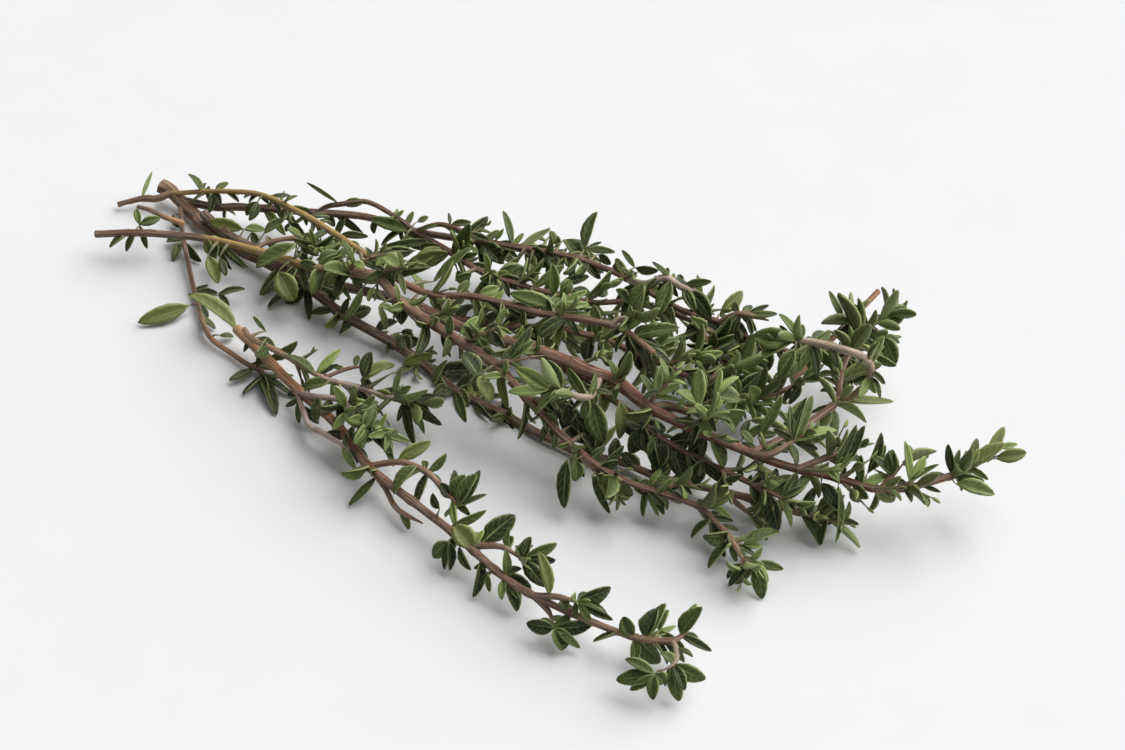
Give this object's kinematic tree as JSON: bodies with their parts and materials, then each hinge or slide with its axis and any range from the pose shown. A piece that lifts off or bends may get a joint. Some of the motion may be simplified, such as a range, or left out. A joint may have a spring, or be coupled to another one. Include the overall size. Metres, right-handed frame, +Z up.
{
  "type": "thyme bundle",
  "caption": "Loose bundle of fresh thyme lying flat: thin woody and young square stems with small paired leaves, cut ends together and leafy tips fanned out.",
  "frame": {"origin": "middle of the bundle's footprint, on the surface that it lies on", "axes": "+X from the cut ends to the leafy tips, along the longest extent; +Z up"},
  "size_m": [0.1663, 0.0977, 0.0212],
  "materials": {
    "leaf": "matte dark green leaf, greyer and paler underneath, brighter at the young tips",
    "stem": "thin reddish brown stem with fine hairs and a dull sheen",
    "bark": "dry fibrous brown bark that flakes in strips, pale wood at the cut ends"
  },
  "bodies": {
    "root": {"woody_clump": "leaf", "long_sprig": "leaf", "front_sprig": "leaf", "front_side_sprig": "leaf", "right_sprig": "leaf", "mid_sprig": "leaf"}
  },
  "joints": []
}
